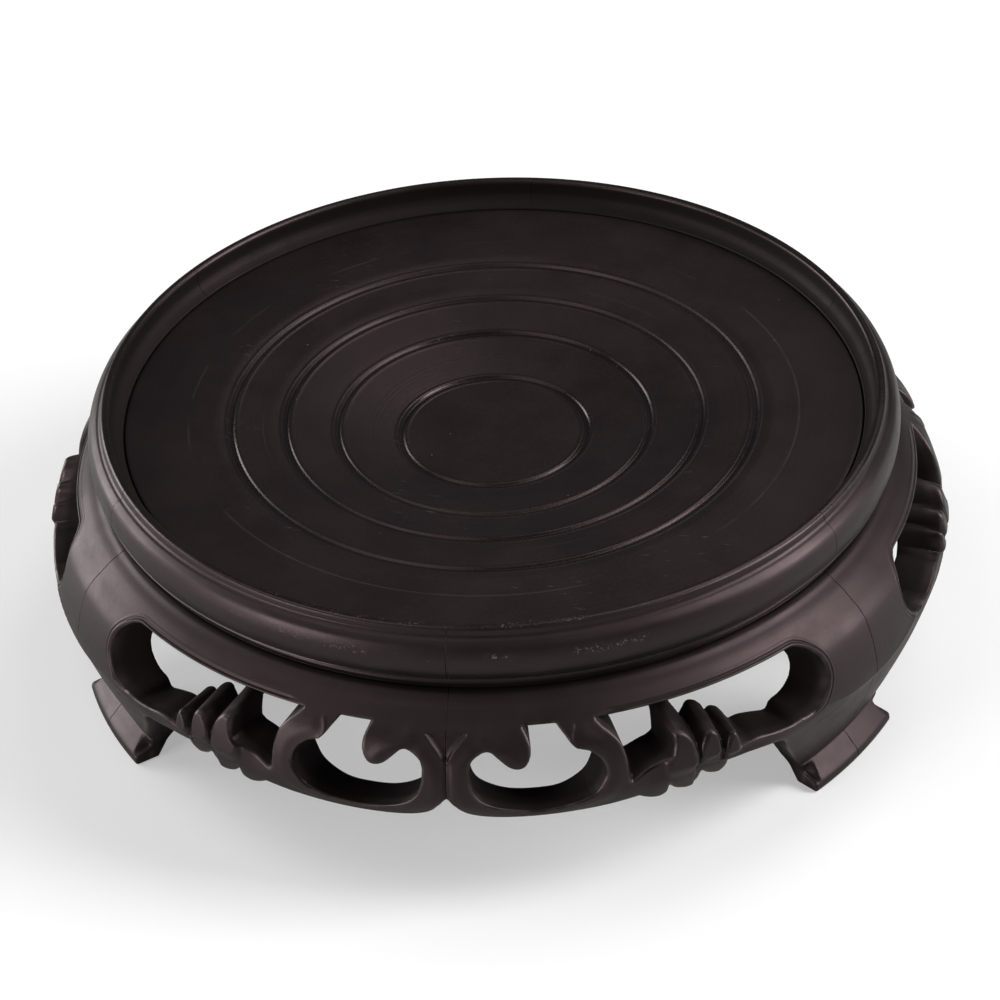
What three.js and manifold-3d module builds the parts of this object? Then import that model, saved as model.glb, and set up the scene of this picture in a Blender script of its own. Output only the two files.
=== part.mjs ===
// Round plant stand: a dished tray in a moulded rim on six pierced and
// carved staves that stand on three feet. Millimetres, +Z up, the origin on
// the axis in the plane of the soles, the middle of one apron panel at -Y.
// Azimuth is measured from -Y toward +X.

import * as THREE from 'three';
import { mergeVertices, toCreasedNormals } from 'three/addons/utils/BufferGeometryUtils.js';
import Module from 'manifold-3d';

const wasm = await Module();
wasm.setup();

// Overall heights
const lipHeight = 81.7;
const floorHeight = 73.5;
const seatHeight = 61.5;

// Division of the ring
const panelCount = 3;
const panelPitch = 360 / panelCount;
const stavePitch = panelPitch / 2;

// Clearances between neighbouring pieces
const seamGap = 0.3;
const seatGap = 0.3;
const panelGap = 0.3;
const dowelGap = 0.3;
const tongueGap = 0.3;

// Lip, roll moulding and neck of the rim
const lipRadius = 110;
const lipWidth = 2.6;
const rollRadius = 116.9;
const rollCrown = 72.4;
const rollUnderside = 66.4;
const neckRadius = 112;

// Tray panel in its groove
const coveFoot = 106.7;
const coveRise = 3.3;
const rimBore = 101.5;
const tongueBottom = 68.5;
const tongueTop = 71.4;
const panelTongueReach = 2.8;
const panelUnderside = 58.5;
const panelChamfer = 3;
const grooveWidth = 2;
const grooveDepth = 0.5;
const wellRadius = 26.9;
const wellDrop = 8.1;
const innerRingRadius = 45.1;
const innerRingDrop = 4.7;
const outerRingRadius = 60;
const outerRingDrop = 2.2;
const dishRadius = 75.6;
const dishDrop = 0.6;
const grooveRings = [
  { radius: wellRadius, drop: wellDrop },
  { radius: innerRingRadius, drop: innerRingDrop },
  { radius: outerRingRadius, drop: outerRingDrop },
  { radius: dishRadius, drop: dishDrop },
];

// Section of the staves
const seatOuter = 113.4;
const seatInner = 103.5;
const shelfUnderside = 52.8;
const bellyRadius = 130.6;
const bellyHeight = 36;
const apronThickness = 12.6;
const innerFace = bellyRadius - apronThickness;
const shoulderSwell = bellyRadius - seatOuter;

// Legs and feet
const footHalfAngle = 8.96;
const bracketFlare = 7.3;
const ankleInset = 10.9;
const ankleThickness = 8.1;
const ankleHeight = 9;
const toeReach = 5.3;
const toeTop = 7.4;
const heelInset = 2.2;
const toeRoot = bellyRadius - ankleInset;
const toeRadius = toeRoot + toeReach;
const ankleInner = toeRoot - ankleThickness;
const soleInner = toeRoot - heelInset;

// Apron carving, drawn on a cylinder of this radius
const carvingRadius = 128;
const shoulderEdge = 55.2;
const tearEnd = 47.1;
const leafRelief = 1.2;
const sinkingDepth = 0.8;
const spandrelDepth = 1.6;

// Dowels and loose tongues
const dowelRadius = 2.5;
const seatDowelBottom = 55;
const seatDowelTop = 66.8;
const seatDowelAngle = 7;
const seamDowelLength = 16;
const shoulderDowelHeight = 57;
const kneeDowelHeight = 42;
const ankleDowelHeight = 19.5;
const scrollPinHeight = 43.5;
const scrollPinRadius = 1.5;
const scrollPinLength = 8;
const rimTongueLength = 14;
const rimTongueThickness = 3;
const rimTongueHeight = 8;

// Facets
const ringSegments = 60;
const staveSegments = 48;
const dowelSegments = 8;

const radians = THREE.MathUtils.degToRad;

function point(r, z) {
  return new THREE.Vector2(r, z);
}

// The carving is drawn for a shoulder edge 55.2 up and follows that edge.
const carvingScale = shoulderEdge / 55.2;

// A place on the carving cylinder, from an angle in degrees and a drawn height.
function place(angle, z) {
  return new THREE.Vector2(radians(angle) * carvingRadius, z * carvingScale);
}

function places(list) {
  return list.map(([angle, z]) => place(angle, z));
}

// Solid from a closed three.js geometry, turned right side out if needed.
function solidFrom(geometry) {
  const bare = geometry.clone();
  bare.deleteAttribute('normal');
  bare.deleteAttribute('uv');
  const welded = mergeVertices(bare, 1e-4);
  const triVerts = new Uint32Array(welded.index.array);
  const vertProperties = new Float32Array(welded.attributes.position.array);
  const kept = [];
  for (let i = 0; i < triVerts.length; i += 3) {
    const [a, b, c] = [triVerts[i], triVerts[i + 1], triVerts[i + 2]];
    if (a !== b && b !== c && c !== a) {
      kept.push(a, b, c);
    }
  }
  let solid = new wasm.Manifold(new wasm.Mesh({
    numProp: 3,
    vertProperties,
    triVerts: new Uint32Array(kept),
  }));
  if (solid.volume() < 0) {
    for (let i = 0; i < kept.length; i += 3) {
      [kept[i], kept[i + 1]] = [kept[i + 1], kept[i]];
    }
    solid = new wasm.Manifold(new wasm.Mesh({
      numProp: 3,
      vertProperties,
      triVerts: new Uint32Array(kept),
    }));
  }
  return solid;
}

function geometryFrom(solid) {
  const mesh = solid.getMesh();
  const geometry = new THREE.BufferGeometry();
  const positions = new Float32Array(mesh.numVert * 3);
  for (let i = 0; i < mesh.numVert; i += 1) {
    for (let k = 0; k < 3; k += 1) {
      positions[i * 3 + k] = mesh.vertProperties[i * mesh.numProp + k];
    }
  }
  geometry.setAttribute('position', new THREE.BufferAttribute(positions, 3));
  geometry.setIndex(new THREE.BufferAttribute(new Uint32Array(mesh.triVerts), 1));
  return geometry;
}

// Ring turned from a closed section of (radius, height) points.
function turned(section, segments = ringSegments) {
  const closed = [...section, section[0].clone()];
  const geometry = new THREE.LatheGeometry(closed, segments);
  geometry.rotateX(Math.PI / 2);
  return solidFrom(geometry);
}

function direction(angle) {
  return new THREE.Vector2(Math.sin(radians(angle)), -Math.cos(radians(angle)));
}

// Wedge between two azimuths, each face set back by half the seam gap.
function wedge(from, to) {
  const half = radians((to - from) / 2);
  const apex = direction((from + to) / 2).multiplyScalar(seamGap / 2 / Math.sin(half));
  const reach = bellyRadius * 3;
  const shape = new THREE.Shape([
    apex.clone(),
    apex.clone().add(direction(from).multiplyScalar(reach)),
    apex.clone().add(direction(to).multiplyScalar(reach)),
  ]);
  const geometry = new THREE.ExtrudeGeometry(shape, { depth: lipHeight + 40, bevelEnabled: false });
  geometry.translate(0, 0, -10);
  return solidFrom(geometry);
}

// Prism bent round the axis: the outline is drawn on the carving cylinder
// and pushed radially from one radius to the other.
function bent(shape, inner = seatInner - 12, outer = bellyRadius + 20) {
  const options = { depth: outer - inner, bevelEnabled: false };
  const geometry = new THREE.ExtrudeGeometry(shape, options);
  const position = geometry.attributes.position;
  for (let i = 0; i < position.count; i += 1) {
    const angle = position.getX(i) / carvingRadius;
    const r = inner + position.getZ(i);
    position.setXYZ(i, r * Math.sin(angle), -r * Math.cos(angle), position.getY(i));
  }
  return solidFrom(geometry);
}

// Opening whose outline on the inner face differs from that on the outer face.
// The straight walls between the two run on a little past both faces.
function lofted(front, back) {
  if (THREE.ShapeUtils.isClockWise(front)) {
    front.reverse();
    back.reverse();
  }
  const reaches = [
    { r: innerFace - 8, share: 1 + 8 / (bellyRadius - innerFace) },
    { r: bellyRadius + 6, share: -6 / (bellyRadius - innerFace) },
  ];
  const positions = [];
  for (const { r, share } of reaches) {
    front.forEach((spot, i) => {
      const moved = spot.clone().lerp(back[i], share);
      const angle = moved.x / carvingRadius;
      positions.push(r * Math.sin(angle), -r * Math.cos(angle), moved.y);
    });
  }
  const count = front.length;
  const index = [];
  for (const [a, b, c] of THREE.ShapeUtils.triangulateShape(front, [])) {
    index.push(a, c, b, a + count, b + count, c + count);
  }
  for (let i = 0; i < count; i += 1) {
    const j = (i + 1) % count;
    index.push(i, j, j + count, i, j + count, i + count);
  }
  const geometry = new THREE.BufferGeometry();
  geometry.setAttribute('position', new THREE.Float32BufferAttribute(positions, 3));
  geometry.setIndex(index);
  return solidFrom(geometry);
}

function smooth(list, count) {
  return new THREE.SplineCurve(list).getPoints(count);
}

function shapeOf(...runs) {
  const outline = [];
  for (const run of runs) {
    for (const spot of run) {
      const last = outline[outline.length - 1];
      if (!last || last.distanceTo(spot) > 0.02) {
        outline.push(spot);
      }
    }
  }
  if (outline[0].distanceTo(outline[outline.length - 1]) < 0.02) {
    outline.pop();
  }
  return new THREE.Shape(outline);
}

// Section of the rim: lip, small hollow, roll, neck, seat, bore and groove.
function rimSection() {
  const seat = seatHeight + seatGap;
  const roll = smooth([
    point(lipRadius + lipWidth + 1.4, lipHeight - 3.1),
    point(rollRadius - 1, rollCrown + 4.4),
    point(rollRadius, rollCrown + 0.8),
    point(rollRadius - 0.2, rollCrown - 3),
    point(rollRadius - 1.6, rollUnderside),
  ], 5);
  const cove = [0, 0.5].map((share) => {
    const turn = (Math.PI / 2) * share;
    return point(
      Math.min(coveFoot + coveRise * Math.sin(turn), lipRadius),
      floorHeight + coveRise * (1 - Math.cos(turn)) + 0.3,
    );
  });
  return [
    point(lipRadius, lipHeight - 0.4),
    point(lipRadius + 0.4, lipHeight),
    point(lipRadius + lipWidth - 0.5, lipHeight),
    point(lipRadius + lipWidth, lipHeight - 0.6),
    point(lipRadius + lipWidth + 0.3, lipHeight - 2.4),
    ...roll,
    point(neckRadius + 0.7, rollUnderside - 0.6),
    point(neckRadius, rollUnderside - 1.8),
    point(neckRadius + 1.1, seat),
    point(rimBore, seat),
    point(rimBore, tongueBottom - panelGap),
    point(coveFoot + panelTongueReach, tongueBottom - panelGap),
    point(coveFoot + panelTongueReach, tongueTop + panelGap),
    point(coveFoot, tongueTop + panelGap),
    point(coveFoot, floorHeight),
    ...cove,
    point(lipRadius, floorHeight + coveRise + 0.3),
  ];
}

// Turned tray panel: rings cut in a gently dished floor, a tongue round the edge.
function panelSection() {
  const edge = coveFoot - panelGap;
  const top = [point(0, floorHeight - grooveRings[0].drop - 0.1)];
  grooveRings.forEach((ring, i) => {
    const level = floorHeight - ring.drop;
    const step = i === 0 ? 0.15 : 0.6;
    top.push(point(ring.radius - grooveWidth, level - step));
    top.push(point(ring.radius, level - grooveDepth - step / 2));
    top.push(point(ring.radius + grooveWidth / 2, level));
  });
  const outermost = grooveRings[grooveRings.length - 1];
  return [
    ...top,
    point(outermost.radius + grooveWidth * 2, floorHeight),
    point(edge - 0.5, floorHeight),
    point(edge, floorHeight - 0.5),
    point(edge, tongueTop),
    point(coveFoot + panelTongueReach - panelGap, tongueTop),
    point(coveFoot + panelTongueReach - panelGap, tongueBottom),
    point(rimBore - panelGap, tongueBottom),
    point(rimBore - panelGap, seatHeight + 1),
    point(rimBore - panelGap - panelChamfer, panelUnderside),
    point(0, panelUnderside),
  ];
}

// Outer line of a stave from its seat over the belly down to the toe.
const outerLine = new THREE.SplineCurve([
  point(seatOuter, seatHeight),
  point(seatOuter + shoulderSwell * 0.1, seatHeight - 1.1),
  point(seatOuter + shoulderSwell * 0.27, seatHeight - 2.6),
  point(seatOuter + shoulderSwell * 0.465, bellyHeight + 20.4),
  point(seatOuter + shoulderSwell * 0.65, bellyHeight + 17.6),
  point(bellyRadius - shoulderSwell * 0.215, bellyHeight + 14.4),
  point(bellyRadius - shoulderSwell * 0.093, bellyHeight + 8.6),
  point(bellyRadius - 0.4, bellyHeight + 3.4),
  point(bellyRadius, bellyHeight),
  point(bellyRadius - 0.3, bellyHeight - 2),
  point(bellyRadius - 1.2, bellyHeight - 5),
  point(bellyRadius - 3.6, bellyHeight - 12),
  point(toeRoot + 4.3, toeTop + 9.4),
  point(toeRoot + 2.1, toeTop + 4.5),
  point(toeRoot + 0.5, toeTop + 1),
]);

// Inner line of a stave from the sole up to the shelf that carries the rim.
const innerLine = [
  point(soleInner, 0),
  point(ankleInner, ankleHeight),
  point(innerFace - 2.9, ankleHeight + 8),
  point(innerFace, bellyHeight - 9),
  point(innerFace, bellyHeight + 2),
  point(innerFace - 0.8, bellyHeight + 8.5),
  point(innerFace - 2.4, shelfUnderside - 3.8),
  point(innerFace - 6, shelfUnderside - 1.4),
  point(seatInner + 1, shelfUnderside),
  point(seatInner, shelfUnderside + 1.2),
  point(seatInner, seatHeight),
];

// Radius of a falling or rising line of points at a height.
function radiusOn(line, z) {
  for (let i = 1; i < line.length; i += 1) {
    const [a, b] = [line[i - 1], line[i]];
    if ((a.y - z) * (b.y - z) <= 0 && a.y !== b.y) {
      return a.x + ((b.x - a.x) * (z - a.y)) / (b.y - a.y);
    }
  }
  return line[0].x;
}

function outerAt(z) {
  return radiusOn(outerLine.getPoints(200), z);
}

function wallMiddle(z) {
  return (outerAt(z) + radiusOn(innerLine, z)) / 2;
}

// Closed section of the stave ring, its outer face lifted where asked.
function staveSection(lift = 0) {
  const outer = outerLine.getPoints(11).map((spot) => point(spot.x + lift, spot.y));
  return [
    ...outer,
    point(toeRoot, toeTop),
    point(toeRadius - 1.5, toeTop - 2.1),
    point(toeRadius, toeTop - 3.8),
    point(toeRadius, 0.6),
    point(toeRadius - 0.6, 0),
    ...innerLine,
  ];
}

// Scroll window: under the shoulder, round the hanging knob and along the rail.
function scrollWindow() {
  const curl = smooth(places([
    [13.75, 55.2], [14.7, 52.8], [15.5, 50.6], [16.3, 49.4], [17.5, 48.6],
  ]), 4);
  const bowl = smooth(places([
    [17.5, 48.6], [18.8, 46], [19.3, 42.8], [19.05, 39.8], [17.3, 35.3], [14, 32.8],
    [10.8, 32], [7.5, 33], [5.2, 34.9], [3.7, 37.7], [3, 41.8], [2.9, 45.9],
  ]), 11);
  const knob = smooth(places([
    [2.9, 45.9], [3.25, 48.2], [4.4, 50], [5.4, 50.3], [6.6, 48.2], [7.7, 46.5],
    [8.7, 46.3], [9.6, 48.3], [9.95, 51.9], [9.62, 55.2],
  ]), 9);
  return shapeOf(curl, bowl, knob);
}

// Round end of the long window, beside the leg.
function tearArc(angle, z, r) {
  const centre = place(angle, z);
  const size = r * carvingScale;
  const turn = [Math.PI / 2, -Math.PI / 2];
  return new THREE.EllipseCurve(centre.x, centre.y, size, size, ...turn, true).getPoints(7);
}

// Long window: from the curl of the scroll over the three leaves to the leg.
// Its edge rises and the leaves widen from the outer face to the inner one.
function longWindow() {
  const runs = [
    {
      front: [[46.1, 36.9], [44.6, 36.8], [42, 37.4], [39.6, 38.3], [37.8, 38.2], [36.6, 37.9]],
      back: [[44.9, 37], [44.3, 35.2], [42.2, 36.8], [40, 38.3], [39, 38.4], [38.4, 38.3]],
      count: 5,
    },
    {
      front: [[36.4, 37.9], [36.46, 39.3], [36.42, 41.2], [36.1, 43.4], [35.6, 43.9], [35, 42.6], [34.4, 40.2]],
      back: [[38.3, 38.3], [37.8, 39.8], [37.15, 42.2], [36.4, 44.1], [35.6, 44.9], [35, 44.9], [34.75, 44.4]],
      count: 5,
    },
    {
      front: [[34.1, 40], [33.8, 43.4], [33.6, 45.3], [33, 46.4], [32.3, 46.1], [31.7, 44.7], [31, 42.4]],
      back: [[34.65, 44.4], [34.3, 46], [34, 46.8], [33.3, 48], [32.3, 48.3], [31.6, 47.2], [31, 46]],
      count: 5,
    },
    {
      front: [[30.8, 41.4], [30.6, 44.1], [30.1, 46.5], [29.4, 48.3], [28.7, 48.8], [28, 48.4], [27.9, 45.5],
        [27.7, 43.4]],
      back: [[30.9, 46], [30.3, 48.1], [29.6, 50], [28.9, 51.4], [28.2, 51.9], [27.5, 51.3], [27.1, 48.6],
        [26.9, 45]],
      count: 6,
    },
    {
      front: [[27.4, 42.6], [26.2, 41], [24.5, 39.3], [23.2, 38], [22.1, 37.5], [22.05, 41], [21.95, 45],
        [21.4, 49.5], [20.5, 52.1], [18.9, 55.2]],
      back: [[26.8, 43.6], [26, 42.6], [24.9, 42], [23.9, 41.2], [22.6, 40.4], [22.1, 43], [21.95, 46],
        [21.4, 49.8], [20.5, 52.3], [18.9, 55.2]],
      count: 9,
    },
  ];
  const outlines = { front: tearArc(tearEnd, 46, 9.4), back: tearArc(tearEnd - 1.5, 46.4, 8.6) };
  for (const run of runs) {
    outlines.front.push(...smooth(places(run.front), run.count));
    outlines.back.push(...smooth(places(run.back), run.count));
  }
  return outlines;
}

// Everything under the apron: the notch between two scrolls, the lower edge
// of the rail with its three leaf ends, and the side of the leg.
function underside() {
  const side = stavePitch - footHalfAngle;
  const scroll = smooth(places([
    [-0.2, 36.2], [0.8, 34.8], [1.7, 32.5], [2.8, 30.9], [5.1, 29.7], [10, 29.4], [18.3, 29.9], [23.2, 31.1],
  ]), 8);
  const leafA = smooth(places([[23.2, 31.1], [24.5, 29.2], [25.9, 28.5], [26.9, 29.8], [27.1, 32]]), 4);
  const leafB = smooth(places([[27.2, 32], [28.1, 30.3], [29.8, 29], [31, 30.8], [31.4, 33.6]]), 4);
  const leafC = smooth(places([[31.6, 33.4], [32.4, 31.6], [33.9, 30.3], [34.8, 32], [35.1, 34.8]]), 4);
  const rail = smooth(places([[35.2, 35], [39.3, 34.3], [side - bracketFlare * 1.3, 33.5]]), 2);
  const leg = smooth(places([
    [side - bracketFlare * 1.12, 32.6], [side - bracketFlare * 0.99, 30.6], [side - bracketFlare * 0.9, 27],
    [side - bracketFlare * 0.71, 22], [side - bracketFlare * 0.43, 15.5], [side - bracketFlare * 0.17, 10.3],
    [side - bracketFlare * 0.04, 6.8], [side, 4.4],
  ]), 2);
  const below = places([[side, -8], [-4, -8], [-4, 36.2]]);
  return shapeOf(scroll, leafA, leafB, leafC, rail, leg, below);
}

// Three-cornered sinking between the heads of two scrolls.
function spandrel() {
  const edge = smooth(places([[0.3, 47.4], [0.6, 49], [1.3, 51], [3, 54.4]]), 3);
  return shapeOf(edge, places([[3, 54.7], [-1, 54.7], [-1, 47.4]]));
}

// The two right-hand leaf ends lie behind the rail, under its lower line.
function leafSinking() {
  const line = smooth(places([[30.3, 37], [32.9, 36.4], [35.7, 35.2], [39.3, 34.5], [42, 33.4]]), 4);
  return shapeOf(line, places([[42, 26], [30.3, 26]]));
}

function leafRun(list, count) {
  return shapeOf(smooth(places([...list, list[0]]), count));
}

// The knuckles of the three leaves stand a little proud of the rail.
function knuckles() {
  return [
    leafRun([[26.9, 41.6], [27.9, 45.5], [28, 48.4], [28.7, 48.8], [29.4, 48.3], [30.1, 46.5], [30.7, 42],
      [30, 38.6], [28.4, 38.2]], 10),
    leafRun([[31, 42.4], [31.7, 44.7], [32.3, 46.1], [33, 46.4], [33.6, 45.3], [33.9, 42], [33.1, 38.6],
      [31.6, 38.4]], 9),
    leafRun([[34.4, 40.2], [35, 42.6], [35.6, 43.9], [36.1, 43.4], [36.42, 41.2], [36.3, 37.6],
      [34.9, 37.6]], 8),
  ];
}

function rod(radius, length, segments = dowelSegments) {
  return new THREE.CylinderGeometry(radius, radius, length, segments);
}

// Upright rod through the seat of the rim, in the middle of the shelf.
function seatRod(angle, radius, bottom, top) {
  const geometry = rod(radius, top - bottom);
  geometry.rotateX(Math.PI / 2);
  const spot = direction(angle).multiplyScalar((seatOuter + seatInner) / 2);
  geometry.translate(spot.x, spot.y, (top + bottom) / 2);
  return solidFrom(geometry);
}

// Level rod across a seam, square to the seam plane.
function seamRod(angle, z, radius, length) {
  const geometry = rod(radius, length);
  geometry.rotateZ(Math.PI / 2);
  geometry.translate(0, -wallMiddle(z), z);
  geometry.rotateZ(radians(angle));
  return solidFrom(geometry);
}

// Flat loose tongue across a seam of the rim, under the lip and in the roll.
function rimTongue(angle, grow = 0) {
  const geometry = new THREE.BoxGeometry(
    rimTongueLength + grow * 2, rimTongueThickness + grow * 2, rimTongueHeight + grow * 2,
  );
  const r = (coveFoot + panelTongueReach + rollRadius) / 2 + 0.1;
  geometry.translate(0, -r, rollCrown - 0.9);
  geometry.rotateZ(radians(angle));
  return solidFrom(geometry);
}

const shoulderDowel = { z: shoulderDowelHeight, radius: dowelRadius, length: seamDowelLength };
const kneeDowel = { z: kneeDowelHeight, radius: dowelRadius, length: seamDowelLength };
const ankleDowel = { z: ankleDowelHeight, radius: dowelRadius, length: seamDowelLength };
const scrollPin = { z: scrollPinHeight, radius: scrollPinRadius, length: scrollPinLength };
const legDowels = { shoulder: shoulderDowel, knee: kneeDowel, ankle: ankleDowel };
const panelDowels = { shoulder: shoulderDowel, scroll: scrollPin };

function seamHole(angle, dowel) {
  return seamRod(angle, dowel.z, dowel.radius + dowelGap, dowel.length + dowelGap * 2);
}

function seatHole(angle) {
  return seatRod(angle, dowelRadius + dowelGap, seatDowelBottom - dowelGap, seatDowelTop + dowelGap);
}

// Right-hand stave of the front panel: half an apron panel and half a leg.
function makeStave() {
  const slice = wedge(0, stavePitch);
  let solid = turned(staveSection(), staveSegments).intersect(slice);
  solid = solid.subtract(bent(leafSinking(), bellyRadius - 0.4 - sinkingDepth));
  const raised = turned(staveSection(leafRelief), staveSegments).intersect(slice);
  for (const knuckle of knuckles()) {
    solid = solid.add(raised.intersect(bent(knuckle, bellyRadius - 8)));
  }
  const long = longWindow();
  solid = solid.subtract(bent(scrollWindow()));
  solid = solid.subtract(lofted(long.front, long.back));
  solid = solid.subtract(bent(underside()));
  solid = solid.subtract(bent(spandrel(), outerAt(place(0, 52).y) - spandrelDepth - 0.6));
  for (const dowel of Object.values(panelDowels)) {
    solid = solid.subtract(seamHole(0, dowel));
  }
  for (const dowel of Object.values(legDowels)) {
    solid = solid.subtract(seamHole(stavePitch, dowel));
  }
  for (const angle of [seatDowelAngle, stavePitch - seatDowelAngle]) {
    solid = solid.subtract(seatHole(angle));
  }
  return solid;
}

function makeRimArc() {
  let solid = turned(rimSection()).intersect(wedge(0, stavePitch));
  for (const angle of [0, stavePitch]) {
    solid = solid.subtract(rimTongue(angle, tongueGap));
  }
  for (const angle of [seatDowelAngle, stavePitch - seatDowelAngle]) {
    solid = solid.subtract(seatHole(angle));
  }
  return solid;
}

function makePanel() {
  const geometry = new THREE.LatheGeometry(panelSection(), ringSegments);
  geometry.rotateX(Math.PI / 2);
  return solidFrom(geometry);
}

const lacquer = { color: 0x2b2321, roughness: 0.42, metalness: 0 };
const trayLacquer = { color: 0x231c1c, roughness: 0.46, metalness: 0 };
const bareWood = { color: 0x6b4a36, roughness: 0.7, metalness: 0 };

const stand = new THREE.Group();
stand.name = 'plant_stand';

function addNode(name, solid, finish) {
  const geometry = toCreasedNormals(geometryFrom(solid), radians(32));
  const mesh = new THREE.Mesh(geometry, new THREE.MeshStandardMaterial(finish));
  mesh.name = name;
  stand.add(mesh);
}

function mirrored(solid) {
  return solid.mirror([1, 0, 0]);
}

function turnedBy(solid, angle) {
  return solid.rotate([0, 0, angle]);
}

addNode('tray_panel', makePanel(), trayLacquer);

const rimArc = makeRimArc();
for (let k = 0; k < panelCount * 2; k += 1) {
  addNode(`rim_arc_${k + 1}`, turnedBy(rimArc, k * stavePitch), lacquer);
}

const rightStave = makeStave();
const leftStave = mirrored(rightStave);
for (let k = 0; k < panelCount; k += 1) {
  addNode(`stave_${k + 1}_right`, turnedBy(rightStave, k * panelPitch), lacquer);
  addNode(`stave_${k + 1}_left`, turnedBy(leftStave, k * panelPitch), lacquer);
}

for (let k = 0; k < panelCount * 2; k += 1) {
  addNode(`rim_tongue_${k + 1}`, rimTongue(k * stavePitch), bareWood);
}

for (let k = 0; k < panelCount * 2; k += 1) {
  const start = k * stavePitch;
  for (const [side, angle] of [['a', seatDowelAngle], ['b', stavePitch - seatDowelAngle]]) {
    const dowel = seatRod(start + angle, dowelRadius, seatDowelBottom, seatDowelTop);
    addNode(`seat_dowel_${k + 1}${side}`, dowel, bareWood);
  }
}

for (let k = 0; k < panelCount; k += 1) {
  for (const [name, d] of Object.entries(panelDowels)) {
    const dowel = seamRod(k * panelPitch, d.z, d.radius, d.length);
    addNode(`panel_${k + 1}_${name}_dowel`, dowel, bareWood);
  }
  for (const [name, d] of Object.entries(legDowels)) {
    const dowel = seamRod(k * panelPitch + stavePitch, d.z, d.radius, d.length);
    addNode(`leg_${k + 1}_${name}_dowel`, dowel, bareWood);
  }
}

export default stand;
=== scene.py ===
# %% [markdown]
# # A jointed and carved plant stand
#
# The object is a low, round stand for a pot or a vase: a dished tray in a moulded rim,
# on a ring of pierced and carved staves with three short feet. This notebook builds
# the visible model piece by piece, in metres, on the axis of the stand, with +Z up and
# the soles at height zero.
#
# A stand of this kind is made like a small barrel. The rim is six arcs joined end to
# end, the apron and legs are six staves joined edge to edge, and the tray is one turned
# panel whose tongue floats in a groove of the rim, so that the wood can swell without
# opening the joints. Each piece below is a closed surface of its own.

# %% The frame and the units
import math

import bpy
import numpy as np
from mathutils import Matrix, Vector


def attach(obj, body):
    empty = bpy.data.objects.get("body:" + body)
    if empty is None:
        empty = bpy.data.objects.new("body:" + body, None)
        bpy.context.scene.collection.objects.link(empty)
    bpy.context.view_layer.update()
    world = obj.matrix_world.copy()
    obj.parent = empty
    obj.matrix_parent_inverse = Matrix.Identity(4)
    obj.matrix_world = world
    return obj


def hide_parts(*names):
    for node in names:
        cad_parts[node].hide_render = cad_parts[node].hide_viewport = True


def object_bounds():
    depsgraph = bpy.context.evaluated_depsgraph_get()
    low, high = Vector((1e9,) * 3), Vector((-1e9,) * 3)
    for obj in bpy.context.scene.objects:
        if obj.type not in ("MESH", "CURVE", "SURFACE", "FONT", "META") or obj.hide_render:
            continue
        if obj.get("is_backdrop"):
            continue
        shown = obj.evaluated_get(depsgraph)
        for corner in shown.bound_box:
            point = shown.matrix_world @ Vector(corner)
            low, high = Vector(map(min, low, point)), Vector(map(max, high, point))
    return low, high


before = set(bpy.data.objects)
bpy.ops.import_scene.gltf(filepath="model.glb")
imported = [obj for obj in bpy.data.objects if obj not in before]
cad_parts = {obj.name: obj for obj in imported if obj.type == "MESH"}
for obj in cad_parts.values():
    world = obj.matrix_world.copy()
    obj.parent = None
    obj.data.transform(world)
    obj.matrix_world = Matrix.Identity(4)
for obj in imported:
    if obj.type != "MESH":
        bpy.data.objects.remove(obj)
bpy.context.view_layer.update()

MM = 0.001
STAVES = 6
PITCH = 2 * math.pi / STAVES
CARVING = 128.0  # radius of the cylinder that the drawings are laid on, in mm
FLOOR = 73.5  # height of the tray's floor at its edge
RINGS = [(26.9, -8.1), (45.1, -4.7), (60.0, -2.2), (75.6, -0.7)]  # radius, height from FLOOR

# %% [markdown]
# ## Two tools for drawing outlines
#
# Carvers draw an ornament flat, on paper, and transfer it to the curved wood. The
# outlines below are drawn in the same way: a few points that a smooth curve runs
# through. The signed distance to such an outline says how deep inside or how far
# outside a place is, and this one number is enough to cut, round and raise the wood.

# %% Curves and distances
def curve(points, count):
    """Smooth line through the points. Between two points it is the cubic that starts and
    ends on them, with a slope at each of half the step between its two neighbours."""
    p = np.asarray(points, float)
    t = np.linspace(0, len(p) - 1, count + 1)
    i = np.minimum(t.astype(int), len(p) - 2)
    u = (t - i)[:, None]
    before, a, b = p[np.maximum(i - 1, 0)], p[i], p[i + 1]
    after = p[np.minimum(i + 2, len(p) - 1)]
    va, vb = (b - before) / 2, (after - a) / 2
    cubic = 2 * a - 2 * b + va + vb
    square = -3 * a + 3 * b - 2 * va - vb
    return cubic * u**3 + square * u**2 + va * u + a


def line_distance(x, y, points):
    """Distance to the nearest part of an open line: for each part, the nearest place on it
    lies at the share t of its length, held between its two ends."""
    near = np.full(np.shape(x), np.inf)
    for (ax, ay), (bx, by) in zip(points[:-1], points[1:]):
        ex, ey, px, py = bx - ax, by - ay, x - ax, y - ay
        t = np.clip((px * ex + py * ey) / (ex * ex + ey * ey + 1e-12), 0, 1)
        near = np.minimum(near, (px - t * ex) ** 2 + (py - t * ey) ** 2)
    return np.sqrt(near)


def signed_distance(x, y, outline):
    """Distance to the nearest side of a closed outline, counted negative inside it. A place
    is inside if a level line from it crosses the outline an odd number of times."""
    closed = np.concatenate([outline, outline[:1]])
    inside = np.zeros(np.shape(x), bool)
    for (ax, ay), (bx, by) in zip(closed[:-1], closed[1:]):
        crosses = (ay > y) != (by > y)
        inside ^= crosses & (x - ax < (bx - ax) * (y - ay) / ((by - ay) or 1e-9))
    return np.where(inside, -1.0, 1.0) * line_distance(x, y, closed)


def ease(x, low, high):
    """Zero below low, one above high, and the cubic 3t2 - 2t3 between them."""
    t = np.clip((x - low) / (high - low), 0, 1)
    return t * t * (3 - 2 * t)


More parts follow.
